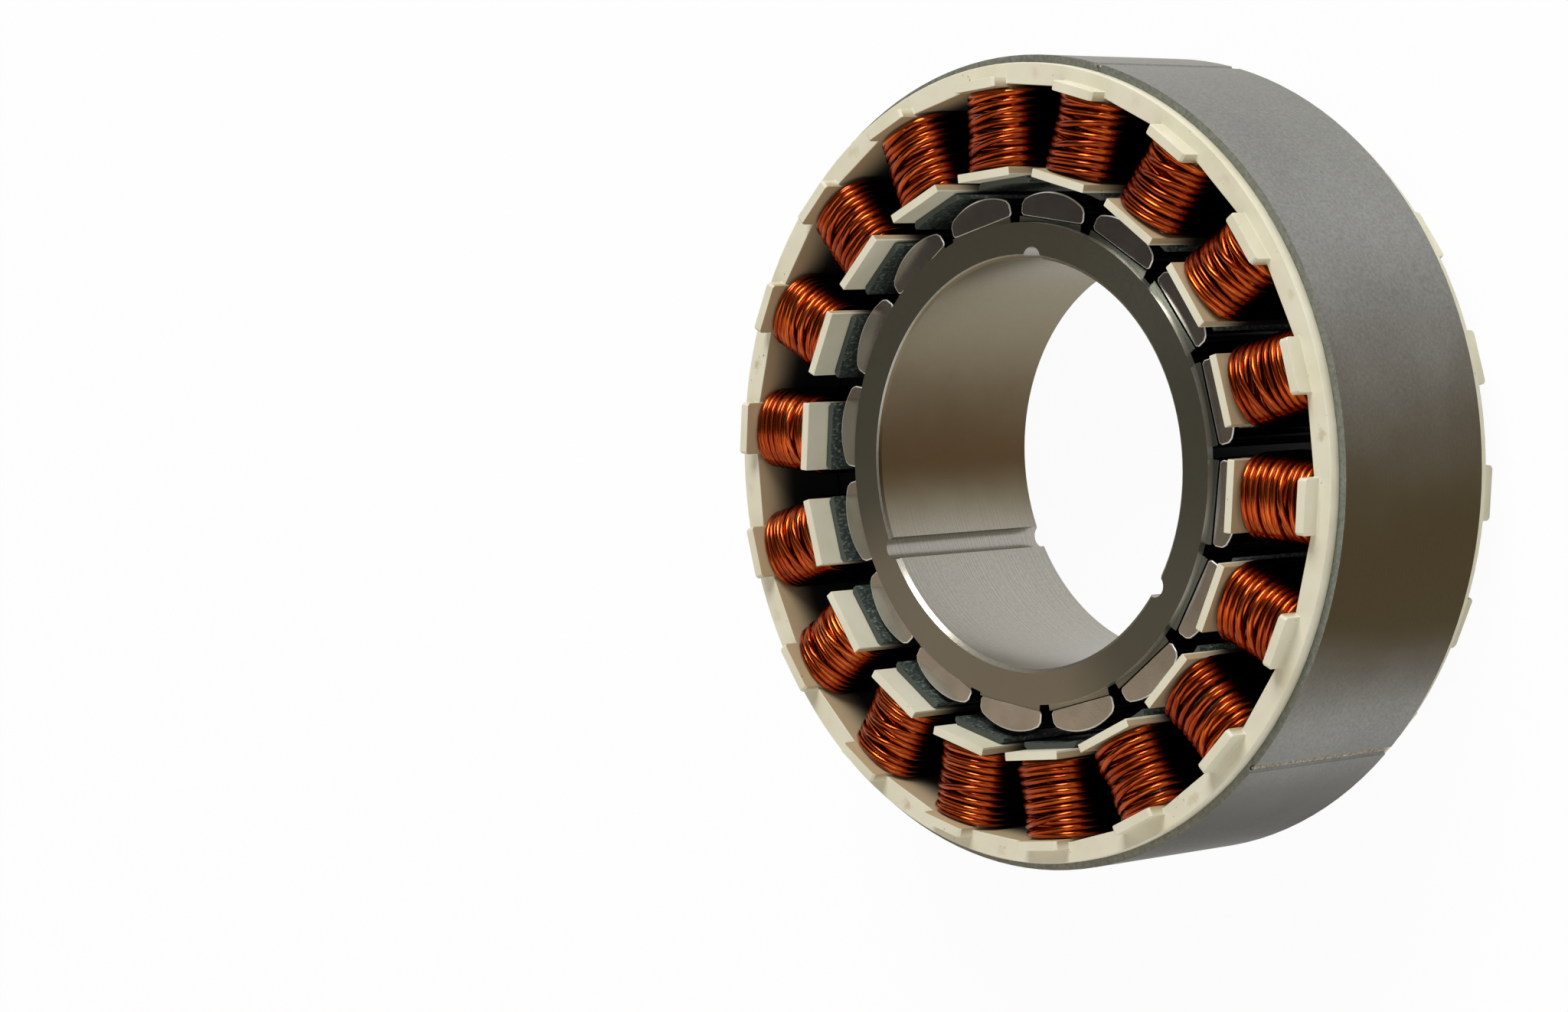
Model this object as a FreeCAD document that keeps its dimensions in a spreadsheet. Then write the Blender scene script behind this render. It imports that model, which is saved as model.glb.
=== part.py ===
import FreeCAD, Part
import math
import os
import re

import Sketcher

# Frameless motor: a wound ring stator with a hollow magnet rotor inside it, and no housing,
# shaft or bearings of its own. Millimetres and degrees.
# The motor axis is +Z and the motor stands on the tabs of its rear end insulator, so Z = 0 is
# at their tips. The front side, whose end turns and rotor face show, looks up.

SIZES = [
    # Lamination stack
    ("stator_diameter", 105.0),
    ("stack_length", 26.6),
    ("running_gap", 0.975),
    ("tooth_count", 18),
    ("tooth_width", 6.0),
    ("tooth_tip_width", 9.0),
    ("tooth_tip_edge", 0.5),
    ("yoke_thickness", 3.4),
    ("weld_groove_count", 3),
    ("weld_groove_radius", 0.75),
    ("weld_groove_depth", 0.55),
    ("weld_groove_angle", 80),
    # End insulators, one on each end of the stack
    ("rim_setback", 1.0),
    ("rim_height", 1.7),
    ("rear_rim_height", 2.2),
    ("lining_thickness", 0.5),
    ("lining_clearance", 0.05),
    ("lining_joint_gap", 0.3),
    ("saddle_height", 0.9),
    ("tab_width", 7.0),
    ("tab_thickness", 1.25),
    ("tab_height", 4.2),
    ("rear_tab_height", 5.9),
    ("tab_overhang", 0.4),
    ("tab_corner", 0.3),
    ("flange_setback", 0.7),
    ("flange_thickness", 1.1),
    ("flange_height", 3.8),
    # Windings, one on each tooth
    ("wire_rows", 11),
    ("ridge_depth", 0.36),
    ("winding_clearance", 0.08),
    ("winding_side", 1.85),
    ("winding_rise_inner", 2.5),
    ("winding_rise_outer", 1.7),
    ("winding_corner", 1.9),
    # Rotor hub
    ("hub_bore", 53.0),
    ("hub_length", 28.8),
    ("hub_sink", 0.6),
    ("bore_chamfer", 0.5),
    ("collar_wall", 4.6),
    ("collar_length", 1.05),
    ("pad_wall", 5.0),
    ("pad_gap", 1.9),
    ("pad_relief", 1.2),
    ("keyway_count", 3),
    ("keyway_radius", 1.5),
    ("rotor_rest_angle", 0.8),
    # Magnets
    ("magnet_count", 16),
    ("magnet_gap", 1.65),
    ("magnet_length", 26.2),
    ("magnet_side", 2.0),
    ("magnet_crown_radius", 9.9),
    ("magnet_corner", 0.8),
    ("glue_line", 0.04),
]

doc = FreeCAD.newDocument("frameless_motor")
sheet = doc.addObject("Spreadsheet::Sheet", "Sizes")
for row, (alias, number) in enumerate(SIZES, 1):
    sheet.set(f"A{row}", alias)
    sheet.set(f"B{row}", str(number))
    sheet.setAlias(f"B{row}", alias)
doc.recompute()

# Distances that several pieces share, as expressions on the sheet, most of them from the motor
# axis. The motor is sized from its hub's bore outwards: pads, magnets, running gap, stator bore.
# The slots have flat floors, so those are distances to the middle of a flat.
PAD_FACE = "(hub_bore / 2 + pad_wall)"
MAGNET_BACK = f"({PAD_FACE} + glue_line)"
MAGNET_HALF = f"({MAGNET_BACK} * tan(180 / magnet_count) - magnet_gap / 2)"
CROWN_CENTRE = f"({MAGNET_BACK} + magnet_side - sqrt(magnet_crown_radius ^ 2 - {MAGNET_HALF} ^ 2))"
BORE_R = f"({CROWN_CENTRE} + magnet_crown_radius + running_gap)"
STACK_R = "stator_diameter / 2"
SLOT_FLOOR = "(stator_diameter / 2 - yoke_thickness)"
LINING_FLOOR = "(stator_diameter / 2 - yoke_thickness - lining_thickness)"
FLANGE_FACE = f"({BORE_R} + flange_setback)"
FLANGE_BACK = f"({FLANGE_FACE} + flange_thickness)"
TIP_CORNER_X = f"(sqrt({BORE_R} ^ 2 - (tooth_tip_width / 2) ^ 2) + tooth_tip_edge)"
LINING_DEPTH = "(stack_length - lining_joint_gap) / 2"
STACK_MIDDLE = "(rear_tab_height + stack_length / 2)"


def bound(text):
    """An expression in which every size is looked up in the sheet."""
    names = {alias for alias, _ in SIZES}
    return re.sub(r"[a-z_]+", lambda m: f"Sizes.{m.group()}" if m.group() in names else m.group(), text)


def measure(text):
    """What such an expression comes to now, as a plain number."""
    found = sheet.evalExpression(bound(text))
    return float(getattr(found, "Value", found))


def origin_part(body, role):
    return next(f for f in body.Origin.OriginFeatures if f.Role == role)


def new_body(label):
    body = doc.addObject("PartDesign::Body", label)
    body.Label = label
    return body


def new_sketch(body, name, plane="XY_Plane", lift=None):
    """A sketch on one of its body's own origin planes, raised along that plane's normal."""
    sketch = body.newObject("Sketcher::SketchObject", name)
    sketch.AttachmentSupport = (origin_part(body, plane), [""])
    sketch.MapMode = "FlatFace"
    if lift:
        sketch.setExpression(".AttachmentOffset.Base.z", bound(lift))
    return sketch


def place_point(sketch, item, end, x, y):
    """Hold one end of a line, or a circle's centre, at sheet-driven coordinates."""
    for kind, text in (("DistanceX", x), ("DistanceY", y)):
        rule = sketch.addConstraint(Sketcher.Constraint(kind, -1, 1, item, end, measure(text)))
        sketch.setExpression(f"Constraints[{rule}]", bound(text))


def draw_outline(sketch, corners):
    """A closed outline of straight lines through sheet-driven corners."""
    points = [FreeCAD.Vector(measure(x), measure(y), 0) for x, y in corners]
    sides = []
    for start, stop in zip(points, points[1:] + points[:1]):
        sides.append(sketch.addGeometry(Part.LineSegment(start, stop), False))
    for side, following, (x, y) in zip(sides, sides[1:] + sides[:1], corners):
        sketch.addConstraint(Sketcher.Constraint("Coincident", side, 2, following, 1))
        place_point(sketch, side, 1, x, y)


def draw_circle(sketch, radius, x="0", y="0"):
    centre = FreeCAD.Vector(measure(x), measure(y), 0)
    item = sketch.addGeometry(Part.Circle(centre, FreeCAD.Vector(0, 0, 1), measure(radius)), False)
    place_point(sketch, item, 3, x, y)
    rule = sketch.addConstraint(Sketcher.Constraint("Radius", item, measure(radius)))
    sketch.setExpression(f"Constraints[{rule}]", bound(radius))


def floor_beside_tooth(floor, half_width):
    """How far out a slot's flat floor is, seen along a tooth, at a distance to that tooth's side."""
    return f"(({floor} - ({half_width}) * sin(180 / tooth_count)) / cos(180 / tooth_count))"


# The tabs stand in over the windings' ends, so they and not the slot floor stop the windings.
TAB_FACE = f"({floor_beside_tooth(LINING_FLOOR, 'tab_width / 2')} - tab_overhang)"


def slot_floor_corners(floor):
    """The inside of the yoke: a flat for each slot, with its corners behind the teeth."""
    corner = f"({floor} / cos(180 / tooth_count))"
    turns = [f"{k} * 360 / tooth_count" for k in range(int(measure("tooth_count")))]
    return [(f"{corner} * cos({turn})", f"{corner} * sin({turn})") for turn in turns]


def plate_corners(inner, outer, half_width):
    """A straight plate square to its tooth, between two distances from the motor axis."""
    half = f"({half_width})"
    return [(inner, half), (inner, f"-{half}"), (outer, f"-{half}"), (outer, half)]


def pad(body, name, sketch, length, down=False):
    feature = body.newObject("PartDesign::Pad", name)
    feature.Profile = sketch
    feature.setExpression("Length", bound(length))
    feature.Reversed = down
    return feature


def pocket(body, name, sketch, up=False):
    """A cut right through, from the sketch's plane upwards or downwards."""
    feature = body.newObject("PartDesign::Pocket", name)
    feature.Profile = sketch
    feature.Type = "ThroughAll"
    feature.Reversed = up
    return feature


def polar_pattern(body, name, features, count):
    pattern = body.newObject("PartDesign::PolarPattern", name)
    pattern.Originals = features
    pattern.Axis = (origin_part(body, "Z_Axis"), [""])
    pattern.Angle = 360
    pattern.setExpression("Occurrences", bound(count))
    body.Tip = pattern
    return pattern


def turn_about_axis(thing, angle, lift):
    """Place a sub-part on the motor axis, turned and raised by sheet-driven amounts."""
    thing.Placement = FreeCAD.Placement(FreeCAD.Vector(0, 0, 1), FreeCAD.Rotation(FreeCAD.Vector(0, 0, 1), 1))
    thing.setExpression(".Placement.Rotation.Angle", bound(angle))
    thing.setExpression(".Placement.Base.z", bound(lift))


def tooth_corners(margin, inner_x, outer_x):
    """Half of a tooth's outline, then its mirror image: tip edge, sloped shoulder, straight side."""
    half = [
        (inner_x, f"tooth_tip_width / 2 + {margin}"),
        (TIP_CORNER_X, f"tooth_tip_width / 2 + {margin}"),
        (FLANGE_BACK, f"tooth_width / 2 + {margin}"),
        (outer_x, f"tooth_width / 2 + {margin}"),
    ]
    return half + [(x, f"-({y})") for x, y in reversed(half)]


def make_stator_core():
    """The lamination stack: yoke ring, 18 shoed teeth and the three weld grooves outside."""
    body = new_body("stator_core")
    yoke_sketch = new_sketch(body, "YokeSketch")
    draw_circle(yoke_sketch, STACK_R)
    draw_outline(yoke_sketch, slot_floor_corners(SLOT_FLOOR))
    pad(body, "Yoke", yoke_sketch, "stack_length")
    tooth_sketch = new_sketch(body, "ToothSketch")
    tooth_start = f"{BORE_R} * cos(180 / tooth_count)"
    draw_outline(tooth_sketch, tooth_corners("0", tooth_start, f"{SLOT_FLOOR} + yoke_thickness / 2"))
    tooth = pad(body, "Tooth", tooth_sketch, "stack_length")
    polar_pattern(body, "Teeth", [tooth], "tooth_count")
    bore_sketch = new_sketch(body, "BoreSketch")
    draw_circle(bore_sketch, BORE_R)
    pocket(body, "Bore", bore_sketch, up=True)
    groove_sketch = new_sketch(body, "WeldGrooveSketch")
    groove_centre = f"({STACK_R} - weld_groove_depth + weld_groove_radius)"
    draw_circle(
        groove_sketch,
        "weld_groove_radius",
        f"{groove_centre} * cos(weld_groove_angle)",
        f"{groove_centre} * sin(weld_groove_angle)",
    )
    groove = pocket(body, "WeldGroove", groove_sketch, up=True)
    polar_pattern(body, "WeldGrooves", [groove], "weld_groove_count")
    body.setExpression(".Placement.Base.z", bound("rear_tab_height"))
    return body


def make_end_insulator(label, rim_height, tab_height):
    """A moulded end ring: rim, tabs, inner flanges, saddles over the teeth and thin slot linings.

    Its own Z = 0 lies on the end of the stack, with the rim above and the linings below. The rear
    one has a taller rim and taller tabs.
    """
    body = new_body(label)
    rim_sketch = new_sketch(body, "RimSketch")
    draw_circle(rim_sketch, f"{STACK_R} - rim_setback")
    draw_outline(rim_sketch, slot_floor_corners(LINING_FLOOR))
    pad(body, "Rim", rim_sketch, rim_height)
    wall_sketch = new_sketch(body, "YokeLiningSketch")
    draw_outline(wall_sketch, slot_floor_corners(f"({SLOT_FLOOR} - lining_clearance)"))
    draw_outline(wall_sketch, slot_floor_corners(LINING_FLOOR))
    pad(body, "YokeLining", wall_sketch, LINING_DEPTH, down=True)

    sleeve_half = "(tooth_width / 2 + lining_thickness)"
    sleeve_start = f"{FLANGE_BACK} - flange_thickness / 4"
    lining_middle = f"({LINING_FLOOR} + lining_thickness / 2)"
    sleeve_stop = floor_beside_tooth(lining_middle, sleeve_half)
    sleeve_point = (floor_beside_tooth(lining_middle, "0"), "0")
    sleeve_sketch = new_sketch(body, "SleeveSketch", lift="saddle_height")
    sleeve_outline = plate_corners(sleeve_start, sleeve_stop, sleeve_half)
    draw_outline(sleeve_sketch, sleeve_outline[:3] + [sleeve_point] + sleeve_outline[3:])
    sleeve = pad(body, "Sleeve", sleeve_sketch, f"saddle_height + {LINING_DEPTH}", down=True)
    flange_sketch = new_sketch(body, "FlangeSketch", lift="flange_height")
    flange_half = "tooth_tip_width / 2 + lining_clearance"
    draw_outline(flange_sketch, plate_corners(FLANGE_FACE, FLANGE_BACK, flange_half))
    flange = pad(body, "Flange", flange_sketch, f"flange_height + {LINING_DEPTH}", down=True)
    tab_sketch = new_sketch(body, "TabSketch", lift=tab_height)
    draw_outline(tab_sketch, plate_corners(TAB_FACE, f"{TAB_FACE} + tab_thickness", "tab_width / 2"))
    tab = pad(body, "Tab", tab_sketch, tab_height, down=True)
    polar_pattern(body, "ToothCovers", [sleeve, flange, tab], "tooth_count")

    socket_sketch = new_sketch(body, "ToothSocketSketch")
    socket_start = f"{BORE_R} * cos(180 / tooth_count)"
    socket_stop = floor_beside_tooth(SLOT_FLOOR, "0")
    draw_outline(socket_sketch, tooth_corners("lining_clearance", socket_start, socket_stop))
    socket = pocket(body, "ToothSocket", socket_sketch)
    polar_pattern(body, "ToothSockets", [socket], "tooth_count")
    return body


def break_tab_corners(body, tab_height):
    """Chamfer the two upper corners of every tab, once the moulding's edges exist."""
    moulding = body.Tip
    top = measure(tab_height)
    shortest = measure("tab_thickness / 2")
    corners = []
    for number, edge in enumerate(moulding.Shape.Edges, 1):
        ends = [v.Point for v in edge.Vertexes]
        if any(abs(p.z - top) > 0.001 for p in ends):
            continue
        distances = [math.hypot(p.x, p.y) for p in ends]
        if max(distances) - min(distances) > shortest:
            corners.append(f"Edge{number}")
    chamfer = body.newObject("PartDesign::Chamfer", "TabCorners")
    chamfer.Base = (moulding, corners)
    chamfer.setExpression("Size", bound("tab_corner"))
    body.Tip = chamfer


def winding_section(index):
    """One cut across a winding, square to its tooth: eight corners, smaller in the dips."""
    dip = "ridge_depth" if index % 2 else "0"
    along = f"({index} / (2 * wire_rows - 2))"
    start = f"({FLANGE_BACK} + winding_clearance)"
    widest = "(tooth_width / 2 + lining_thickness + winding_clearance + winding_side)"
    stop = f"({TAB_FACE} - winding_clearance)"
    rise = f"(winding_rise_inner + (winding_rise_outer - winding_rise_inner) * {along})"
    half_width = f"({widest} - {dip})"
    half_height = f"(stack_length / 2 + saddle_height + winding_clearance + {rise} - {dip})"
    corner = f"(winding_corner - {dip} * (2 - sqrt(2)))"
    quarter = [
        (half_width, f"{half_height} - {corner}"),
        (f"{half_width} - {corner}", half_height),
    ]
    upper = quarter + [(f"-({x})", y) for x, y in reversed(quarter)]
    lower = [(x, f"-({y})") for x, y in reversed(upper)]
    sketch = doc.addObject("Sketcher::SketchObject", f"WindingSection{index:02d}")
    across = FreeCAD.Rotation(FreeCAD.Vector(0, 1, 0), FreeCAD.Vector(0, 0, 1), FreeCAD.Vector(1, 0, 0))
    sketch.Placement = FreeCAD.Placement(FreeCAD.Vector(0, 0, 0), across)
    sketch.setExpression(".Placement.Base.x", bound(f"{start} + ({stop} - {start}) * {along}"))
    draw_outline(sketch, upper + lower)
    return sketch


def make_winding_block():
    """The ridged outside of a winding, one ridge to a row of wire, as a loft along its tooth."""
    rows = int(measure("wire_rows"))
    block = doc.addObject("Part::Loft", "WindingBlock")
    block.Sections = [winding_section(index) for index in range(2 * rows - 1)]
    block.Solid = True
    block.Ruled = True
    block.Linearize = True
    return block


def make_winding_core():
    """The insulated tooth that a winding is wound on, as the hole it leaves."""
    half_width = "(tooth_width / 2 + lining_thickness + winding_clearance)"
    half_height = "(stack_length / 2 + saddle_height + winding_clearance)"
    core = doc.addObject("Part::Box", "WindingCore")
    core.setExpression("Length", bound(f"{LINING_FLOOR} - {FLANGE_BACK}"))
    core.setExpression("Width", bound(f"2 * {half_width}"))
    core.setExpression("Height", bound(f"2 * {half_height}"))
    core.setExpression(".Placement.Base.x", bound(FLANGE_BACK))
    core.setExpression(".Placement.Base.y", bound(f"-{half_width}"))
    core.setExpression(".Placement.Base.z", bound(f"-{half_height}"))
    return core


def make_coil(number, block, core):
    coil = doc.addObject("Part::Cut", f"coil_{number:02d}")
    coil.Label = f"coil_{number:02d}"
    coil.Base = block
    coil.Tool = core
    coil.Refine = False
    turn_about_axis(coil, f"-{number} * 360 / tooth_count", STACK_MIDDLE)
    return coil


def make_rotor_hub():
    """A hollow hub, turned with a collar at each end, with 16 flat magnet pads and 3 keyways."""
    body = new_body("rotor_hub")
    half = "hub_length / 2"
    bore = "hub_bore / 2"
    collar = f"{bore} + collar_wall"
    relief = f"({PAD_FACE} - pad_relief)"
    upper = [
        (relief, f"{half} - collar_length"),
        (collar, f"{half} - collar_length"),
        (collar, half),
        (f"{bore} + bore_chamfer", half),
        (bore, f"{half} - bore_chamfer"),
    ]
    turning = new_sketch(body, "TurningSketch", plane="XZ_Plane")
    draw_outline(turning, upper + [(r, f"-({z})") for r, z in reversed(upper)])
    tube = body.newObject("PartDesign::Revolution", "Turning")
    tube.Profile = turning
    tube.ReferenceAxis = (turning, ["V_Axis"])
    tube.Angle = 360

    pad_length = "(hub_length - 2 * collar_length)"
    pad_half = f"({PAD_FACE} * tan(180 / magnet_count) - pad_gap / 2)"
    pad_start = f"{relief} * cos(180 / magnet_count)"
    flat_sketch = new_sketch(body, "MagnetPadSketch", lift=f"-{pad_length} / 2")
    draw_outline(flat_sketch, plate_corners(pad_start, PAD_FACE, pad_half))
    flat = pad(body, "MagnetPad", flat_sketch, pad_length)
    polar_pattern(body, "MagnetPads", [flat], "magnet_count")
    keyway_sketch = new_sketch(body, "KeywaySketch", lift=f"-{half}")
    keyway_angle = "(90 - 180 / magnet_count)"
    draw_circle(
        keyway_sketch,
        "keyway_radius",
        f"{bore} * cos{keyway_angle}",
        f"{bore} * sin{keyway_angle}",
    )
    keyway = pocket(body, "Keyway", keyway_sketch, up=True)
    polar_pattern(body, "Keyways", [keyway], "keyway_count")
    turn_about_axis(body, "rotor_rest_angle + 180 / magnet_count", f"{STACK_MIDDLE} - hub_sink")
    return body


def make_magnet(number):
    """A bar magnet with a flat back on its pad, broken corners and a crowned outer face."""
    label = f"magnet_{number:02d}"
    body = new_body(label)
    crown = "magnet_crown_radius"
    profile = new_sketch(body, "ProfileSketch", lift="-magnet_length / 2")
    reach = f"({MAGNET_HALF} - magnet_corner / 2)"
    shoulder = f"({CROWN_CENTRE} + sqrt({crown} ^ 2 - {reach} ^ 2))"
    side = [
        (shoulder, reach),
        (f"{MAGNET_BACK} + magnet_side - magnet_corner / 2", MAGNET_HALF),
        (f"{MAGNET_BACK} + magnet_corner / 2", MAGNET_HALF),
        (MAGNET_BACK, f"{MAGNET_HALF} - magnet_corner / 2"),
    ]
    corners = side + [(x, f"-({y})") for x, y in reversed(side)]
    points = [FreeCAD.Vector(measure(x), measure(y), 0) for x, y in corners]
    for start, stop in zip(points, points[1:]):
        profile.addGeometry(Part.LineSegment(start, stop), False)
    for item, (x, y) in enumerate(corners[:-1]):
        place_point(profile, item, 1, x, y)
        if item:
            profile.addConstraint(Sketcher.Constraint("Coincident", item - 1, 2, item, 1))
    last = len(corners) - 2
    place_point(profile, last, 2, *corners[-1])
    centre = FreeCAD.Vector(measure(CROWN_CENTRE), 0, 0)
    swing = math.atan2(points[0].y, points[0].x - centre.x)
    circle = Part.Circle(centre, FreeCAD.Vector(0, 0, 1), measure(crown))
    arc = profile.addGeometry(Part.ArcOfCircle(circle, -swing, swing), False)
    profile.addConstraint(Sketcher.Constraint("Coincident", last, 2, arc, 1))
    profile.addConstraint(Sketcher.Constraint("Coincident", arc, 2, 0, 1))
    rule = profile.addConstraint(Sketcher.Constraint("Radius", arc, measure(crown)))
    profile.setExpression(f"Constraints[{rule}]", bound(crown))
    pad(body, "Magnet", profile, "magnet_length")
    angle = f"rotor_rest_angle + ({number} - 0.5) * 360 / magnet_count"
    turn_about_axis(body, angle, f"{STACK_MIDDLE} - hub_sink")
    return body


def build():
    core = make_stator_core()
    front = make_end_insulator("front_end_insulator", "rim_height", "tab_height")
    front.setExpression(".Placement.Base.z", bound("rear_tab_height + stack_length"))
    rear = make_end_insulator("rear_end_insulator", "rear_rim_height", "rear_tab_height")
    rear.Placement.Rotation = FreeCAD.Rotation(FreeCAD.Vector(1, 0, 0), 180)
    rear.setExpression(".Placement.Base.z", bound("rear_tab_height"))
    hub = make_rotor_hub()
    magnets = [make_magnet(k) for k in range(1, int(measure("magnet_count")) + 1)]
    doc.recompute()
    break_tab_corners(front, "tab_height")
    break_tab_corners(rear, "rear_tab_height")
    block = make_winding_block()
    tooth = make_winding_core()
    coils = [make_coil(k, block, tooth) for k in range(1, int(measure("tooth_count")) + 1)]
    doc.recompute()
    return [core, front, rear, hub] + magnets + coils


def check(parts):
    """Stop before anything is written if a feature failed or a solid is not sound."""
    failed = [o.Label for o in doc.Objects if "Invalid" in o.State or "Error" in o.State]
    unsound = [p.Label for p in parts if p.Shape.isNull() or not p.Shape.isValid()]
    broken = [p.Label for p in parts if len(p.Shape.Solids) != 1]
    if failed or unsound or broken:
        raise RuntimeError(f"failed {failed}, unsound {unsound}, not one solid {broken}")


parts = build()
check(parts)
os.makedirs("parts", exist_ok=True)
for part in parts:
    part.Shape.exportStep(f"parts/{part.Label}.step")
    print(part.Label, round(part.Shape.Volume, 1), "mm3")
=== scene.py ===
import math
import random

import bpy
import numpy as np
from mathutils import Matrix, Vector


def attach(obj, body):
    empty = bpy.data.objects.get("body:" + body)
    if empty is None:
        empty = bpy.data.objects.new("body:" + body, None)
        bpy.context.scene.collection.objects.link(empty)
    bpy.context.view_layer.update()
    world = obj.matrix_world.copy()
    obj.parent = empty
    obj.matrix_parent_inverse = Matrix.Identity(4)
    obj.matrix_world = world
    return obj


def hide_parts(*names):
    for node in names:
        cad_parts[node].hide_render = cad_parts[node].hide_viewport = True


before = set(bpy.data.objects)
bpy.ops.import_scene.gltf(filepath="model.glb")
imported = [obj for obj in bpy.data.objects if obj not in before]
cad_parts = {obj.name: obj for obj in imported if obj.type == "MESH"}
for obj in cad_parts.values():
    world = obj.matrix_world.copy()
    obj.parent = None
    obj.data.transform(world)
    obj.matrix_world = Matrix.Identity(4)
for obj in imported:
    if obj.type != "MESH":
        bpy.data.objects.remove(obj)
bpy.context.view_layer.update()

MM = 0.001
UP = Vector((0, 0, 1))

# Sizes that the pieces and finishes share with the solids, in millimetres and degrees.
TEETH = 18
MAGNETS = 16
STACK_MIDDLE = 19.2
STACK_ENDS = (5.9, 32.5)
HUB_MIDDLE = 18.6
GROOVE_ANGLES = (80, 200, -40)

# Windings. Rows run along the tooth, from its flange out to the rim's tabs.
WIRE = 0.93
ROWS = 11
FIRST_ROW = 38.03 + WIRE / 2
LAST_ROW = 48.25 - WIRE / 2
TOOTH_HALF_WIDTH = 3.58
TOOTH_HALF_HEIGHT = 14.28
COIL_HALF_WIDTH = 5.43
COIL_HALF_HEIGHTS = (16.78, 15.98)
# How high and how squarely a turn bends over the tooth, in the inner and in the outer layer.
BEND_HEIGHTS = (1.8, 4.3)
BEND_FULLNESS = (3.2, 2.25)
BEND_STEPS = 12
# How much of a row a turn moves on at the front end, and how often two turns change places there.
ROW_ADVANCE = 0.72
CROSSINGS = 2
CROSSING_LIFT = 0.6 * WIRE

# Weld beads in the stack's grooves.
BEAD_RADIUS = 52.12
BEAD_THICKNESS = 0.24
BEAD_SPREAD = 2.0
RIPPLE_PITCH = 0.85
RIPPLE_DEPTH = 0.02
BEAD_MARGIN = 0.15
BEAD_TIP = 0.08

# Distances from the axis at which one finish gives way to another.
TOOTH_FACES_WITHIN = 40.0
FLANGE_BACKS_BEYOND = 37.4
RIM_WALL_FADE = (49.4, 48.7)
GATE_RADIUS = 50.3
HUB_BORE_WITHIN = 26.8
PADS_BEYOND = 29.5
COLLAR_WALL_BEYOND = 31.05
# The same along the axis, from the hub's middle.
PADS_END = 13.3
COLLAR_STARTS = 13.4


def linear(hex_code):
    """An sRGB hex colour as the linear colour that a shader takes."""
    parts = [int(hex_code[k : k + 2], 16) / 255 for k in (1, 3, 5)]
    return (*[c / 12.92 if c <= 0.04045 else ((c + 0.055) / 1.055) ** 2.4 for c in parts], 1)


def add_node(tree, kind, inputs=None, **settings):
    """Add a node with its settings, and give each named input a value or another node's output."""
    node = tree.nodes.new(kind)
    for name, value in settings.items():
        setattr(node, name, value)
    for name, value in (inputs or {}).items():
        if isinstance(value, bpy.types.NodeSocket):
            tree.links.new(value, node.inputs[name])
        else:
            node.inputs[name].default_value = value
    return node


def new_finish(name):
    """An empty material and its node tree."""
    finish = bpy.data.materials.new(name)
    finish.use_nodes = True
    finish.node_tree.nodes.clear()
    return finish, finish.node_tree


def set_stops(ramp, stops):
    """Put colours on a ramp at their positions."""
    elements = ramp.color_ramp.elements
    while len(elements) < len(stops):
        elements.new(0.5)
    for element, (position, colour) in zip(elements, stops):
        element.position = position
        element.color = linear(colour)


# Camera

def place_camera():
    """The photograph's view, from in front of the motor and to one side, rolled to lay its axis level."""
    spot = Vector((-139.61, -355.07, 437.78)) * MM
    aim = Vector((18.433, 57.129, 19.2)) * MM
    back = (spot - aim).normalized()
    upward = Vector((0.9144, -0.4017, -0.0503))
    right = upward.cross(back).normalized()
    camera = bpy.data.objects.new("camera", bpy.data.cameras.new("camera"))
    camera.data.lens = 99.01
    camera.data.sensor_width = 36
    camera.data.clip_start = 0.01
    turned = Matrix((right, back.cross(right), back)).transposed().to_4x4()
    camera.matrix_world = Matrix.Translation(spot) @ turned
    bpy.context.scene.collection.objects.link(camera)
    bpy.context.scene.camera = camera


# Studio

def lay_floor():
    """A pale floor that the motor stands on, large enough to fill every view."""
    finish, tree = new_finish("pale_floor")
    path = add_node(tree, "ShaderNodeLightPath")
    seen = add_node(tree, "ShaderNodeMath", {
        0: path.outputs["Is Camera Ray"], 1: path.outputs["Is Glossy Ray"]}, operation="MAXIMUM")
    seen = add_node(tree, "ShaderNodeMath", {
        0: seen.outputs[0], 1: path.outputs["Is Transmission Ray"]}, operation="MAXIMUM")
    # A little of the cloth stays, and with it the motor's shadow.
    share = add_node(tree, "ShaderNodeMath", {0: seen.outputs[0], 1: 0.95}, operation="MULTIPLY")
    cloth = add_node(tree, "ShaderNodeBsdfDiffuse", {"Color": linear("#F6F6F4")})
    white = add_node(tree, "ShaderNodeEmission", {"Color": (1, 1, 1, 1), "Strength": 1.0})
    mixed = add_node(tree, "ShaderNodeMixShader", {
        0: share.outputs[0], 1: cloth.outputs[0], 2: white.outputs[0]})
    add_node(tree, "ShaderNodeOutputMaterial", {"Surface": mixed.outputs[0]})
    mesh = bpy.data.meshes.new("floor")
    mesh.from_pydata([(-4, -4, 0), (4, -4, 0), (4, 4, 0), (-4, 4, 0)], [], [(0, 1, 2, 3)])
    mesh.materials.append(finish)
    floor = bpy.data.objects.new("floor", mesh)
    # Just under the motor, so that the two never share a plane.
    floor.location.z = -0.02 * MM
    bpy.context.scene.collection.objects.link(floor)


def hang_lamp(name, direction, distance, size, watts, colour):
    """A square soft box at a distance from the motor, turned to it."""
    lamp = bpy.data.lights.new(name, "AREA")
    lamp.shape = "SQUARE"
    lamp.size = size
    lamp.energy = watts
    lamp.color = linear(colour)[:3]
    thing = bpy.data.objects.new(name, lamp)
    away = Vector(direction).normalized()
    thing.location = away * distance + UP * STACK_MIDDLE * MM
    thing.rotation_mode = "QUATERNION"
    thing.rotation_quaternion = (-away).to_track_quat("-Z", "Y")
    thing.visible_camera = False
    bpy.context.scene.collection.objects.link(thing)


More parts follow.
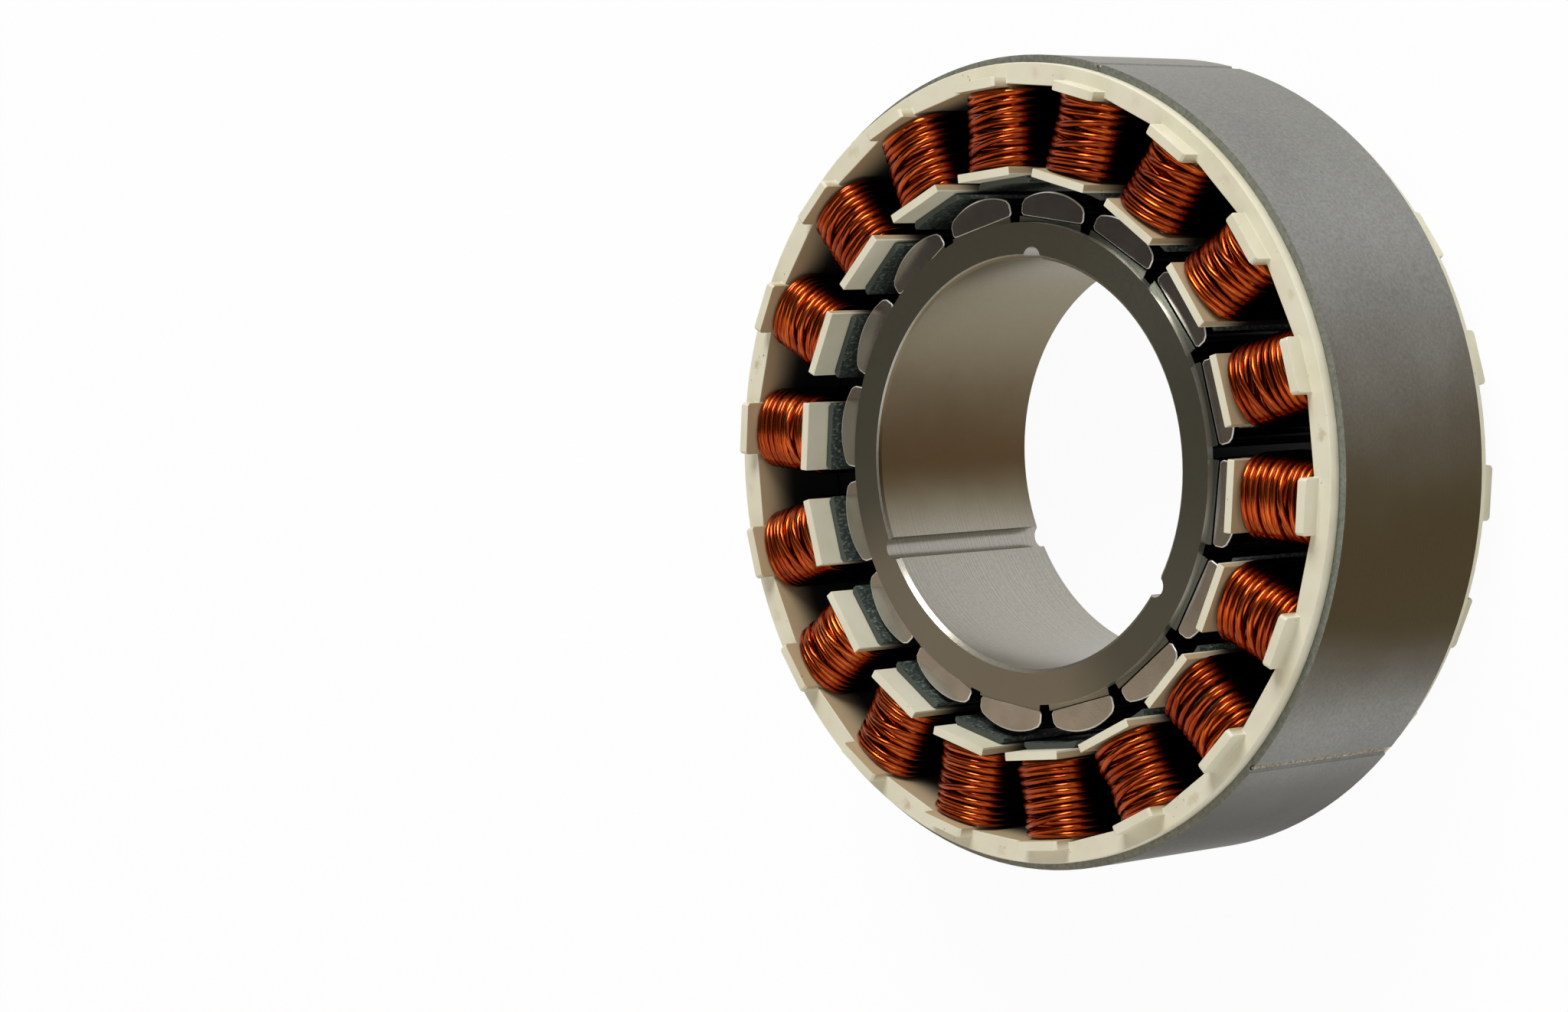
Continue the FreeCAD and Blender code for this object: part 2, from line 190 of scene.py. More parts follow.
def light_studio():
    """Light walls, a dim ceiling, a far side that turns from dark to warm white, and two soft boxes."""
    world = bpy.data.worlds.new("studio")
    bpy.context.scene.world = world
    world.use_nodes = True
    tree = world.node_tree
    tree.nodes.clear()
    way = add_node(tree, "ShaderNodeTexCoord").outputs["Generated"]
    height = add_node(tree, "ShaderNodeSeparateXYZ", {0: way}).outputs["Z"]
    ceiling = add_node(tree, "ShaderNodeMapRange", {
        "Value": height, "From Min": 0.35, "From Max": 0.85}, interpolation_type="SMOOTHSTEP")
    walls = add_node(tree, "ShaderNodeMix", {
        "Factor": ceiling.outputs[0], "A": linear("#D6D3CC"), "B": linear("#6B6A68")}, data_type="RGBA")
    # The end faces mirror the far side of the room, which the photograph leaves dark at one end.
    along = add_node(tree, "ShaderNodeVectorMath", {0: way, 1: (-0.707, 0.707, 0)}, operation="DOT_PRODUCT")
    turn = add_node(tree, "ShaderNodeMapRange", {
        "Value": along.outputs["Value"], "From Min": 0.262, "From Max": 0.345})
    far_wall = add_node(tree, "ShaderNodeMix", {
        "Factor": turn.outputs[0], "A": linear("#343436"), "B": linear("#FFE8CC")}, data_type="RGBA")
    far_side = add_node(tree, "ShaderNodeVectorMath", {
        0: way, 1: (0.26, 0.678, 0.688)}, operation="DOT_PRODUCT")
    far = add_node(tree, "ShaderNodeMapRange", {
        "Value": far_side.outputs["Value"], "From Min": 0.55, "From Max": 0.9},
        interpolation_type="SMOOTHSTEP")
    above = add_node(tree, "ShaderNodeMapRange", {
        "Value": height, "From Min": 0.12, "From Max": 0.4}, interpolation_type="SMOOTHSTEP")
    share = add_node(tree, "ShaderNodeMath", {0: far.outputs[0], 1: above.outputs[0]}, operation="MULTIPLY")
    room = add_node(tree, "ShaderNodeMix", {
        "Factor": share.outputs[0], "A": walls.outputs["Result"], "B": far_wall.outputs["Result"]},
        data_type="RGBA")
    glow = add_node(tree, "ShaderNodeBackground", {"Color": room.outputs["Result"], "Strength": 1.0})
    add_node(tree, "ShaderNodeOutputWorld", {"Surface": glow.outputs[0]})
    hang_lamp("key_soft_box", (0.66, -0.46, 0.60), distance=1.3, size=0.54, watts=12.0, colour="#FFFFFF")
    hang_lamp("fill_soft_box", (-0.55, -0.1, 0.83), distance=1.1, size=0.8, watts=2.4, colour="#FBFCFF")


# Finishes

def polar_coordinates(tree):
    """Position on the motor in millimetres: distance from its axis, angle in degrees, and height."""
    place = add_node(tree, "ShaderNodeTexCoord").outputs["Object"]
    scaled = add_node(tree, "ShaderNodeVectorMath", {0: place, "Scale": 1 / MM}, operation="SCALE")
    split = add_node(tree, "ShaderNodeSeparateXYZ", {0: scaled.outputs[0]})
    x, y, z = split.outputs
    flat = add_node(tree, "ShaderNodeCombineXYZ", {0: x, 1: y})
    radius = add_node(tree, "ShaderNodeVectorMath", {0: flat.outputs[0]}, operation="LENGTH")
    angle = add_node(tree, "ShaderNodeMath", {0: y, 1: x}, operation="ARCTAN2")
    degrees = add_node(tree, "ShaderNodeMath", {0: angle.outputs[0], 1: 180 / math.pi}, operation="MULTIPLY")
    return scaled.outputs[0], radius.outputs["Value"], degrees.outputs[0], z


def end_facing(tree):
    """How squarely a face looks along the motor's axis, from 0 on upright walls to 1 on end faces."""
    normal = add_node(tree, "ShaderNodeNewGeometry").outputs["Normal"]
    facing = add_node(tree, "ShaderNodeSeparateXYZ", {0: normal})
    return add_node(tree, "ShaderNodeMath", {0: facing.outputs["Z"]}, operation="ABSOLUTE").outputs[0]


def depth_in_slot(tree, height, shallow, deep):
    """How deep a point lies in the slots: 0 at one distance from the stack's middle, 1 at a smaller one."""
    level = add_node(tree, "ShaderNodeMath", {0: height, 1: STACK_MIDDLE}, operation="SUBTRACT")
    distance = add_node(tree, "ShaderNodeMath", {0: level.outputs[0]}, operation="ABSOLUTE")
    return add_node(tree, "ShaderNodeMapRange", {
        "Value": distance.outputs[0], "From Min": shallow, "From Max": deep},
        interpolation_type="SMOOTHSTEP").outputs[0]


def painted_side_patch(tree, angle, middle, reach, clouds, lean=0.0):
    """Painted shade and light on one side of a part: an uneven patch round an angle in degrees.

    A lean below zero stretches it towards larger angles.
    """
    turned = add_node(tree, "ShaderNodeMath", {0: angle, 1: 540 - middle}, operation="ADD")
    folded = add_node(tree, "ShaderNodeMath", {0: turned.outputs[0], 1: 360}, operation="FLOORED_MODULO")
    off = add_node(tree, "ShaderNodeMath", {0: folded.outputs[0], 1: 180}, operation="SUBTRACT")
    apart = add_node(tree, "ShaderNodeMath", {0: off.outputs[0]}, operation="ABSOLUTE")
    leaned = add_node(tree, "ShaderNodeMath", {
        0: off.outputs[0], 1: lean, 2: apart.outputs[0]}, operation="MULTIPLY_ADD")
    # The edge wanders by up to 9 degrees and fades over 30.
    wander = add_node(tree, "ShaderNodeMath", {
        0: clouds, 1: 9.0, 2: leaned.outputs[0]}, operation="MULTIPLY_ADD")
    return add_node(tree, "ShaderNodeMapRange", {
        "Value": wander.outputs[0], "From Min": reach + 18, "From Max": reach - 12},
        interpolation_type="SMOOTHSTEP").outputs[0]


def enamelled_copper():
    """Round copper wire in a clear amber enamel: metal colour below, a thin glossy skin above."""
    finish, tree = new_finish("enamelled_copper")
    place, _, _, height = polar_coordinates(tree)
    turn = add_node(tree, "ShaderNodeAttribute", attribute_name="wire_tone")
    # The enamel's thickness wanders over about 3 mm of wire.
    clouds = add_node(tree, "ShaderNodeTexNoise", {
        "Vector": place, "Scale": 0.35, "Detail": 3.0, "Roughness": 0.6})
    tone = add_node(tree, "ShaderNodeMath", {0: turn.outputs["Fac"], 1: clouds.outputs[0]}, operation="ADD")
    halved = add_node(tree, "ShaderNodeMath", {0: tone.outputs[0], 1: 0.5}, operation="MULTIPLY")
    amber = add_node(tree, "ShaderNodeValToRGB", {0: halved.outputs[0]})
    set_stops(amber, [(0.28, "#7C2907"), (0.5, "#A8420F"), (0.72, "#CB6220")])
    # Painted shade: deeper in the slots the wire darkens to nearly black.
    slot_shade = depth_in_slot(tree, height, 14.2, 10.5)
    colour = add_node(tree, "ShaderNodeMix", {
        "Factor": slot_shade, "A": amber.outputs["Color"], "B": linear("#1C0602")}, data_type="RGBA")
    # Handling marks in the skin, about 0.2 mm apart.
    marks = add_node(tree, "ShaderNodeTexNoise", {"Vector": place, "Scale": 5.0, "Detail": 2.0})
    gloss = add_node(tree, "ShaderNodeMapRange", {"Value": marks.outputs[0], "To Min": 0.14, "To Max": 0.26})
    bump = add_node(tree, "ShaderNodeBump", {
        "Height": marks.outputs[0], "Strength": 0.1, "Distance": 0.04 * MM})
    shader = add_node(tree, "ShaderNodeBsdfPrincipled", {
        "Base Color": colour.outputs["Result"], "Metallic": 1.0, "Roughness": gloss.outputs[0],
        "Normal": bump.outputs[0], "Coat Weight": 0.15, "Coat Roughness": 0.12, "Coat IOR": 1.6})
    add_node(tree, "ShaderNodeOutputMaterial", {"Surface": shader.outputs[0]})
    return finish


def moulded_nylon():
    """Cream glass-filled nylon as moulded: matte, faintly clouded, a brown gate mark behind each slot."""
    finish, tree = new_finish("moulded_nylon")
    place, radius, angle, height = polar_coordinates(tree)
    clouds = add_node(tree, "ShaderNodeTexNoise", {"Vector": place, "Scale": 0.12, "Detail": 4.0})
    cream = add_node(tree, "ShaderNodeValToRGB", {0: clouds.outputs[0]})
    set_stops(cream, [(0.3, "#D6D1B8"), (0.55, "#DFDBC6"), (0.8, "#E5E2CE")])
    # Gate marks lie midway between the tabs on the rim's end face, 1.6 mm wide and a little longer round it.
    folded = add_node(tree, "ShaderNodeMath", {0: angle, 1: 360 / TEETH}, operation="FLOORED_MODULO")
    across = add_node(tree, "ShaderNodeMath", {0: folded.outputs[0], 1: 180 / TEETH}, operation="SUBTRACT")
    spot_y = add_node(tree, "ShaderNodeMath", {0: across.outputs[0], 1: 0.62}, operation="MULTIPLY")
    spot_x = add_node(tree, "ShaderNodeMath", {0: radius, 1: GATE_RADIUS}, operation="SUBTRACT")
    spot = add_node(tree, "ShaderNodeCombineXYZ", {0: spot_x.outputs[0], 1: spot_y.outputs[0]})
    reach = add_node(tree, "ShaderNodeVectorMath", {0: spot.outputs[0]}, operation="LENGTH")
    ragged = add_node(tree, "ShaderNodeTexNoise", {
        "Vector": place, "Scale": 0.9, "Detail": 4.0, "Roughness": 0.65})
    edge = add_node(tree, "ShaderNodeMath", {
        0: ragged.outputs[0], 1: 2.6, 2: reach.outputs["Value"]}, operation="MULTIPLY_ADD")
    # Some gates were cut cleaner than others.
    care = add_node(tree, "ShaderNodeTexNoise", {"Vector": place, "Scale": 0.06, "Detail": 1.0})
    faint = add_node(tree, "ShaderNodeMapRange", {
        "Value": care.outputs[0], "From Min": 0.4, "From Max": 0.62, "To Max": 0.6})
    smear = add_node(tree, "ShaderNodeMapRange", {
        "Value": edge.outputs[0], "From Min": 2.3, "From Max": 1.3}, interpolation_type="SMOOTHSTEP")
    mark = add_node(tree, "ShaderNodeMath", {0: smear.outputs[0], 1: faint.outputs[0]}, operation="MULTIPLY")
    gated = add_node(tree, "ShaderNodeMix", {
        "Factor": mark.outputs[0], "A": cream.outputs["Color"], "B": linear("#AC9769")}, data_type="RGBA")
    # Painted shade and painted copper bounce light, with a little stain, tan the walls that face the
    # windings, and painted shade turns the slot linings dark brown deeper down.
    upright = add_node(tree, "ShaderNodeMath", {0: end_facing(tree), 1: 0.5}, operation="LESS_THAN")
    near = add_node(tree, "ShaderNodeMapRange", {
        "Value": radius, "From Min": RIM_WALL_FADE[0], "From Max": RIM_WALL_FADE[1], "To Max": 0.9})
    behind = add_node(tree, "ShaderNodeMath", {0: radius, 1: FLANGE_BACKS_BEYOND}, operation="GREATER_THAN")
    wall = add_node(tree, "ShaderNodeMath", {0: near.outputs[0], 1: behind.outputs[0]}, operation="MULTIPLY")
    wall_shade = add_node(tree, "ShaderNodeMath", {0: wall.outputs[0], 1: upright.outputs[0]}, operation="MULTIPLY")
    shaded_walls = add_node(tree, "ShaderNodeMix", {
        "Factor": wall_shade.outputs[0], "A": gated.outputs["Result"], "B": linear("#B9A47E")}, data_type="RGBA")
    slot_shade = depth_in_slot(tree, height, 13.9, 8.2)
    lined = add_node(tree, "ShaderNodeMix", {
        "Factor": slot_shade, "A": shaded_walls.outputs["Result"], "B": linear("#15100C")}, data_type="RGBA")
    # Specks of dust and burnt resin, under half a millimetre, few and far between.
    dust = add_node(tree, "ShaderNodeTexNoise", {"Vector": place, "Scale": 1.3, "Detail": 2.0})
    speck = add_node(tree, "ShaderNodeMapRange", {
        "Value": dust.outputs[0], "From Min": 0.73, "From Max": 0.78, "To Max": 0.7})
    colour = add_node(tree, "ShaderNodeMix", {
        "Factor": speck.outputs[0], "A": lined.outputs["Result"], "B": linear("#7B6A4E")}, data_type="RGBA")
    grain = add_node(tree, "ShaderNodeTexNoise", {"Vector": place, "Scale": 4.0, "Detail": 3.0})
    matte = add_node(tree, "ShaderNodeMapRange", {"Value": grain.outputs[0], "To Min": 0.48, "To Max": 0.68})
    dull = add_node(tree, "ShaderNodeMath", {
        0: slot_shade, 1: 0.35, 2: matte.outputs[0]}, operation="MULTIPLY_ADD", use_clamp=True)
    bump = add_node(tree, "ShaderNodeBump", {
        "Height": grain.outputs[0], "Strength": 0.15, "Distance": 0.05 * MM})
    shader = add_node(tree, "ShaderNodeBsdfPrincipled", {
        "Base Color": colour.outputs["Result"], "Roughness": dull.outputs[0], "Normal": bump.outputs[0],
        "IOR": 1.53, "Subsurface Weight": 0.08, "Subsurface Radius": (1.0, 0.7, 0.4),
        "Subsurface Scale": 0.4 * MM})
    add_node(tree, "ShaderNodeOutputMaterial", {"Surface": shader.outputs[0]})
    return finish


def electrical_steel():
    """Stacked silicon steel: satin ground outside, dark coated end sheet, scuffed dark tooth faces inside."""
    finish, tree = new_finish("electrical_steel")
    place, radius, angle, height = polar_coordinates(tree)
    is_end = add_node(tree, "ShaderNodeMath", {0: end_facing(tree), 1: 0.7}, operation="GREATER_THAN")
    is_inside = add_node(tree, "ShaderNodeMath", {0: radius, 1: TOOTH_FACES_WITHIN}, operation="LESS_THAN")
    # Ground outside: cloudy by the centimetre, with a grain drawn at 0.45 mm, coarser than the real one.
    clouds = add_node(tree, "ShaderNodeTexNoise", {"Vector": place, "Scale": 0.05, "Detail": 3.0})
    grain = add_node(tree, "ShaderNodeTexNoise", {
        "Vector": place, "Scale": 2.2, "Detail": 3.0, "Roughness": 0.7})
    mixed = add_node(tree, "ShaderNodeMix", {"Factor": 0.75, "A": clouds.outputs[0], "B": grain.outputs[0]})
    ground = add_node(tree, "ShaderNodeValToRGB", {0: mixed.outputs["Result"]})
    set_stops(ground, [(0.36, "#838380"), (0.5, "#91918D"), (0.64, "#9E9E9A")])
    # Painted shade: one side of the outside is darker, and next to it a side is brown.
    dark_side = painted_side_patch(tree, angle, middle=179, reach=18, clouds=clouds.outputs[0])
    darkened_side = add_node(tree, "ShaderNodeMix", {
        "Factor": dark_side, "A": ground.outputs["Color"], "B": linear("#33332E")}, data_type="RGBA")
    brown_side = painted_side_patch(tree, angle, middle=-133, reach=21, clouds=clouds.outputs[0], lean=-0.42)
    painted_sides = add_node(tree, "ShaderNodeMix", {
        "Factor": brown_side, "A": darkened_side.outputs["Result"], "B": linear("#493D26")}, data_type="RGBA")
    # Scuffs on the tooth faces, 0.3 mm wide and 0.6 mm long across the sheets.
    stretched = add_node(tree, "ShaderNodeVectorMath", {0: place, 1: (3.2, 3.2, 1.7)}, operation="MULTIPLY")
    scuffs = add_node(tree, "ShaderNodeTexNoise", {
        "Vector": stretched.outputs[0], "Scale": 1.0, "Detail": 4.0})
    dark = add_node(tree, "ShaderNodeValToRGB", {0: scuffs.outputs[0]})
    set_stops(dark, [(0.42, "#3F4742"), (0.58, "#5E6862"), (0.72, "#A6B0A8")])
    side = add_node(tree, "ShaderNodeMix", {
        "Factor": is_inside.outputs[0], "A": painted_sides.outputs["Result"], "B": dark.outputs["Color"]},
        data_type="RGBA")
    coated = add_node(tree, "ShaderNodeValToRGB", {0: grain.outputs[0]})
    set_stops(coated, [(0.35, "#6C6F67"), (0.65, "#898C81")])
    # The teeth's ends lie under the flanges and took up varnish.
    stained = add_node(tree, "ShaderNodeMix", {
        "Factor": is_inside.outputs[0], "A": coated.outputs["Color"], "B": linear("#4B524E")},
        data_type="RGBA")
    colour = add_node(tree, "ShaderNodeMix", {
        "Factor": is_end.outputs[0], "A": side.outputs["Result"], "B": stained.outputs["Result"]},
        data_type="RGBA")
    # The sheets' edges, drawn as lines 0.7 mm apart, twice as thick as the real ones.
    layers = add_node(tree, "ShaderNodeMath", {0: height, 1: 2 * math.pi / 0.7}, operation="MULTIPLY")
    lines = add_node(tree, "ShaderNodeMath", {0: layers.outputs[0]}, operation="SINE")
    relief = add_node(tree, "ShaderNodeMath", {
        0: lines.outputs[0], 1: 0.12, 2: grain.outputs[0]}, operation="MULTIPLY_ADD")
    bump = add_node(tree, "ShaderNodeBump", {
        "Height": relief.outputs[0], "Strength": 0.25, "Distance": 0.05 * MM})
    satin = add_node(tree, "ShaderNodeMapRange", {"Value": grain.outputs[0], "To Min": 0.38, "To Max": 0.55})
    # The coated ends and the varnished tooth faces mirror less than the bare outside.
    covered = add_node(tree, "ShaderNodeMath", {
        0: is_end.outputs[0], 1: is_inside.outputs[0]}, operation="MAXIMUM")
    bare = add_node(tree, "ShaderNodeMapRange", {"Value": covered.outputs[0], "To Min": 1.0, "To Max": 0.25})
    shader = add_node(tree, "ShaderNodeBsdfPrincipled", {
        "Base Color": colour.outputs["Result"], "Metallic": bare.outputs[0], "Roughness": satin.outputs[0],
        "Specular Tint": linear("#EDECE8"), "Normal": bump.outputs[0]})
    add_node(tree, "ShaderNodeOutputMaterial", {"Surface": shader.outputs[0]})
    return finish


def turned_steel():
    """Bright carbon steel off the lathe: fine circular tool marks that draw reflections into bands."""
    finish, tree = new_finish("turned_steel")
    place, radius, angle, height = polar_coordinates(tree)
    # Tool marks run round the axis: one coordinate across them serves the faces and the walls alike.
    across = add_node(tree, "ShaderNodeMath", {0: radius, 1: height}, operation="ADD")
    marks = add_node(tree, "ShaderNodeTexNoise", {
        "W": across.outputs[0], "Scale": 6.0, "Detail": 3.0, "Roughness": 0.7}, noise_dimensions="1D")
    clouds = add_node(tree, "ShaderNodeTexNoise", {"Vector": place, "Scale": 0.08, "Detail": 3.0})
    grain = add_node(tree, "ShaderNodeTexNoise", {"Vector": place, "Scale": 2.5, "Detail": 3.0})
    tone = add_node(tree, "ShaderNodeMix", {"Factor": 0.25, "A": marks.outputs[0], "B": grain.outputs[0]})
    colour = add_node(tree, "ShaderNodeValToRGB", {0: tone.outputs["Result"]})
    set_stops(colour, [(0.3, "#8A857C"), (0.5, "#A8A49A"), (0.7, "#C4C0B7")])
    # Painted reflection: one side of the bore is yellowed, and a strip of it brown.
    in_bore = add_node(tree, "ShaderNodeMath", {0: radius, 1: HUB_BORE_WITHIN}, operation="LESS_THAN")
    yellow_reflection = painted_side_patch(tree, angle, middle=28, reach=58, clouds=clouds.outputs[0])
    yellow_in_bore = add_node(tree, "ShaderNodeMath", {0: yellow_reflection, 1: in_bore.outputs[0]}, operation="MULTIPLY")
    with_yellow_reflection = add_node(tree, "ShaderNodeMix", {
        "Factor": yellow_in_bore.outputs[0], "A": colour.outputs["Color"], "B": linear("#867D66")},
        data_type="RGBA")
    brown_reflection = painted_side_patch(tree, angle, middle=66, reach=16, clouds=clouds.outputs[0], lean=0.4)
    brown_in_bore = add_node(tree, "ShaderNodeMath", {0: brown_reflection, 1: in_bore.outputs[0]}, operation="MULTIPLY")
    painted_sides = add_node(tree, "ShaderNodeMix", {
        "Factor": brown_in_bore.outputs[0], "A": with_yellow_reflection.outputs["Result"], "B": linear("#56442D")}, data_type="RGBA")
    # Painted highlight: the collars' outer walls are coloured brighter than the rest.
    rise = add_node(tree, "ShaderNodeMath", {0: height, 1: HUB_MIDDLE}, operation="SUBTRACT")
    off_middle = add_node(tree, "ShaderNodeMath", {0: rise.outputs[0]}, operation="ABSOLUTE")
    at_end = add_node(tree, "ShaderNodeMath", {
        0: off_middle.outputs[0], 1: COLLAR_STARTS}, operation="GREATER_THAN")
    far_out = add_node(tree, "ShaderNodeMath", {0: radius, 1: COLLAR_WALL_BEYOND}, operation="GREATER_THAN")
    collar = add_node(tree, "ShaderNodeMath", {
        0: at_end.outputs[0], 1: far_out.outputs[0]}, operation="MULTIPLY")
    collar_highlight = add_node(tree, "ShaderNodeMix", {
        "Factor": collar.outputs[0], "A": painted_sides.outputs["Result"], "B": linear("#DAD6CB")}, data_type="RGBA")
    # The ends were faced with a coarser feed, which leaves them a greyer steel than the bore.
    is_end = add_node(tree, "ShaderNodeMath", {0: end_facing(tree), 1: 0.8}, operation="GREATER_THAN")
    # Painted reflection: one side of the end faces is lighter.
    light_side = painted_side_patch(tree, angle, middle=130, reach=48, clouds=clouds.outputs[0])
    faces_with_light_side = add_node(tree, "ShaderNodeMix", {
        "Factor": light_side, "A": linear("#676A63"), "B": linear("#8E8C82")}, data_type="RGBA")
    faced = add_node(tree, "ShaderNodeMix", {
        "Factor": is_end.outputs[0], "A": collar_highlight.outputs["Result"], "B": faces_with_light_side.outputs["Result"]},
        data_type="RGBA")
    # Painted shade: the outside between the pads, deep inside the rotor, is nearly black.
    outside = add_node(tree, "ShaderNodeMath", {0: radius, 1: PADS_BEYOND}, operation="GREATER_THAN")
    between = add_node(tree, "ShaderNodeMath", {
        0: off_middle.outputs[0], 1: PADS_END}, operation="LESS_THAN")
    between_pads_shade = add_node(tree, "ShaderNodeMath", {
        0: outside.outputs[0], 1: between.outputs[0]}, operation="MULTIPLY")
    shaded_between_pads = add_node(tree, "ShaderNodeMix", {
        "Factor": between_pads_shade.outputs[0], "A": faced.outputs["Result"], "B": linear("#161412")}, data_type="RGBA")
    satin = add_node(tree, "ShaderNodeMapRange", {"Value": grain.outputs[0], "To Min": 0.28, "To Max": 0.42})
    bump = add_node(tree, "ShaderNodeBump", {
        "Height": marks.outputs[0], "Strength": 0.12, "Distance": 0.03 * MM})
    lay = add_node(tree, "ShaderNodeTangent", direction_type="RADIAL", axis="Z")
    shader = add_node(tree, "ShaderNodeBsdfPrincipled", {
        "Base Color": shaded_between_pads.outputs["Result"], "Metallic": 1.0, "Roughness": satin.outputs[0],
        "Anisotropic": 0.6, "Anisotropic Rotation": 0.25, "Tangent": lay.outputs[0],
        "Normal": bump.outputs[0]})
    add_node(tree, "ShaderNodeOutputMaterial", {"Surface": shader.outputs[0]})
    return finish


def nickel_plating(name, dark, light, smooth, rough, metal):
    """Nickel over a pressed magnet: satin on its ground faces; on the tumbled, rounded edges a paler colour
    is a painted highlight.
    """
    finish, tree = new_finish(name)
    place = polar_coordinates(tree)[0]
    clouds = add_node(tree, "ShaderNodeTexNoise", {"Vector": place, "Scale": 0.25, "Detail": 4.0})
    nickel = add_node(tree, "ShaderNodeValToRGB", {0: clouds.outputs[0]})
    set_stops(nickel, [(0.35, dark), (0.65, light)])
    # Painted shade: the sides and the crowned face, deep in the gaps, are nearly black where they show
    # through the slots.
    upright = add_node(tree, "ShaderNodeMath", {0: end_facing(tree), 1: 0.2}, operation="LESS_THAN")
    colour = add_node(tree, "ShaderNodeMix", {
        "Factor": upright.outputs[0], "A": nickel.outputs["Color"], "B": linear("#1E1E1F")}, data_type="RGBA")
    # Powder grain of the magnet showing through the plating, about 0.2 mm.
    grain = add_node(tree, "ShaderNodeTexNoise", {"Vector": place, "Scale": 5.0, "Detail": 2.0})
    sheen = add_node(tree, "ShaderNodeMapRange", {
        "Value": grain.outputs[0], "To Min": smooth, "To Max": rough})
    bump = add_node(tree, "ShaderNodeBump", {
        "Height": grain.outputs[0], "Strength": 0.1, "Distance": 0.03 * MM})
    shader = add_node(tree, "ShaderNodeBsdfPrincipled", {
        "Base Color": colour.outputs["Result"], "Metallic": metal, "Roughness": sheen.outputs[0],
        "Normal": bump.outputs[0]})
    add_node(tree, "ShaderNodeOutputMaterial", {"Surface": shader.outputs[0]})
    return finish


def weld_metal():
    """A dry arc weld left as run: brown heat tint with bright beads of scale."""
    finish, tree = new_finish("weld_metal")
    place = polar_coordinates(tree)[0]
    scale = add_node(tree, "ShaderNodeTexNoise", {"Vector": place, "Scale": 2.2, "Detail": 3.0})
    colour = add_node(tree, "ShaderNodeValToRGB", {0: scale.outputs[0]})
    set_stops(colour, [(0.36, "#6A5E4E"), (0.52, "#887D6D"), (0.68, "#ADA495")])
    bump = add_node(tree, "ShaderNodeBump", {
        "Height": scale.outputs[0], "Strength": 0.25, "Distance": 0.05 * MM})
    shader = add_node(tree, "ShaderNodeBsdfPrincipled", {
        "Base Color": colour.outputs["Color"], "Metallic": 0.9, "Roughness": 0.38, "Normal": bump.outputs[0]})
    add_node(tree, "ShaderNodeOutputMaterial", {"Surface": shader.outputs[0]})
    return finish


# Windings

def sweep_wire(name, points, tones):
    """A round wire along a path that winds round the X axis, as rings of eight points."""
    points = np.array(points)
    ahead = np.gradient(points, axis=0)
    ahead /= np.linalg.norm(ahead, axis=1, keepdims=True)
    out = np.array([1.0, 0, 0]) - ahead * ahead[:, :1]
    out /= np.linalg.norm(out, axis=1, keepdims=True)
    side = np.cross(ahead, out)
    sides = 8
    turns = np.arange(sides) * 2 * math.pi / sides
    rings = points[:, None] + WIRE / 2 * (
        np.cos(turns)[None, :, None] * out[:, None] + np.sin(turns)[None, :, None] * side[:, None])
    faces = []
    for k in range(len(points) - 1):
        for j in range(sides):
            a, b = k * sides + j, k * sides + (j + 1) % sides
            faces.append((a, b, b + sides, a + sides))
    last = (len(points) - 1) * sides
    faces.append(tuple(reversed(range(sides))))
    faces.append(tuple(range(last, last + sides)))
    mesh = bpy.data.meshes.new(name)
    mesh.from_pydata((rings.reshape(-1, 3) * MM).tolist(), [], faces)
    mesh.polygons.foreach_set("use_smooth", [True] * len(mesh.polygons))
    attribute = mesh.attributes.new("wire_tone", "FLOAT", "POINT")
    attribute.data.foreach_set("value", np.repeat(tones, sides))
    return mesh


def end_turn_height(row, layer):
    """How far from the stack's middle a layer's wire crosses the tooth, for a row position from 0 to 1."""
    outer = COIL_HALF_HEIGHTS[0] + (COIL_HALF_HEIGHTS[1] - COIL_HALF_HEIGHTS[0]) * row - WIRE / 2
    inner = TOOTH_HALF_HEIGHT + WIRE / 2 + 0.3 * (1 - row)
    return max(outer, inner + WIRE) if layer else inner


def half_turn(half_width, height, bulge, fullness, steps):
    """Points from one slot over the tooth into the other: (side to side, height, how far along)."""
    path = [(half_width, (height - bulge) * share, 0.0) for share in (0.4, 0.8)]
    for k in range(steps + 1):
        swing = math.pi * k / steps
        across = math.copysign(abs(math.cos(swing)) ** (2 / fullness), math.cos(swing)) * half_width
        path.append((across, height - bulge + bulge * math.sin(swing) ** (2 / fullness), 0.0))
    path += [(-half_width, (height - bulge) * share, 0.0) for share in (0.8, 0.4)]
    return [(y, z, (half_width - y) / (2 * half_width)) for y, z, _ in path]


